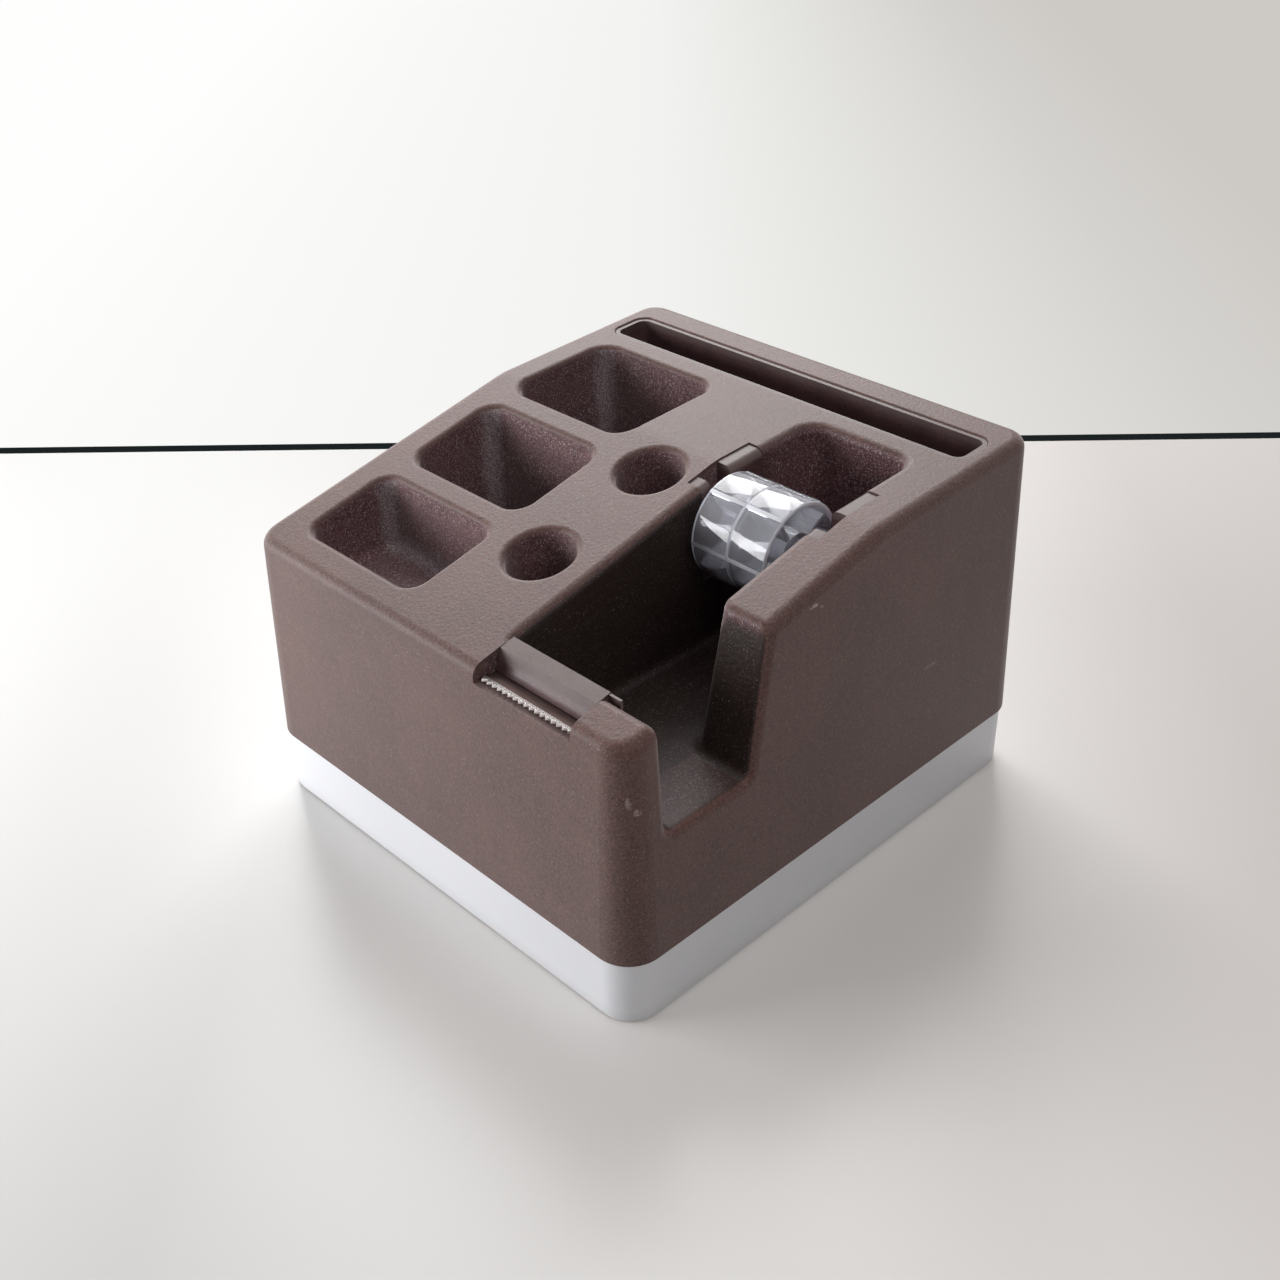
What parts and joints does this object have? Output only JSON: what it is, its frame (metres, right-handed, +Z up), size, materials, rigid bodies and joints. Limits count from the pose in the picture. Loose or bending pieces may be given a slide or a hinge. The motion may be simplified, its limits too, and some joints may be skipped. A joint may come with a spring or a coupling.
{
  "type": "desk organizer with tape dispenser and drawer",
  "caption": "Wedge-shaped desk organizer with small pockets, pen holes, a rear slot, a tape roll channel with cutter and hub, and a tray drawer underneath.",
  "frame": {"origin": "middle of the footprint, on the desk", "axes": "+X to the right, +Y to the back, +Z up; the cutter looks along -Y"},
  "size_m": [0.127, 0.136, 0.0902],
  "materials": {
    "brown_grained": "fine grained satin",
    "brown_smooth": "smooth gloss",
    "clear_plastic": "polished clear",
    "blade_steel": "ground",
    "grey_plastic": "satin",
    "screw_steel": "zinc plated",
    "ballast_steel": "mill finish",
    "white_plastic": "smooth gloss",
    "foot_rubber": "matte"
  },
  "bodies": {
    "housing": {"body_shell": "brown_grained", "slot_liner": "brown_smooth", "axle_cradle_left": "brown_smooth", "axle_cradle_right": "brown_smooth", "blade_holder": "brown_smooth", "cutter_blade": "blade_steel", "chassis_plate": "grey_plastic", "chassis_screws": "screw_steel", "ballast_plate": "ballast_steel", "ballast_screws": "screw_steel", "slide_rail_left": "grey_plastic", "slide_rail_right": "grey_plastic", "rail_screws": "screw_steel"},
    "drawer": {"drawer_tray": "white_plastic", "foot_front_left": "foot_rubber", "foot_front_right": "foot_rubber", "foot_rear_left": "foot_rubber", "foot_rear_right": "foot_rubber"},
    "axle": {"hub_axle": "clear_plastic"},
    "tape_hub": {"hub_half_left": "clear_plastic", "hub_half_right": "clear_plastic"}
  },
  "joints": [
    {"name": "drawer_slide", "type": "slide", "parent": "housing", "child": "drawer", "axis": [0, -1, 0], "range_m": [0, 0.048]},
    {"name": "axle_lift", "type": "slide", "parent": "housing", "child": "axle", "axis": [0, 0, 1], "range_m": [0, 0.03]},
    {"name": "hub_spin", "type": "hinge", "parent": "axle", "child": "tape_hub", "pos_m": [0.03115, 0.007, 0.0753], "axis": [1, 0, 0], "continuous": true}
  ]
}
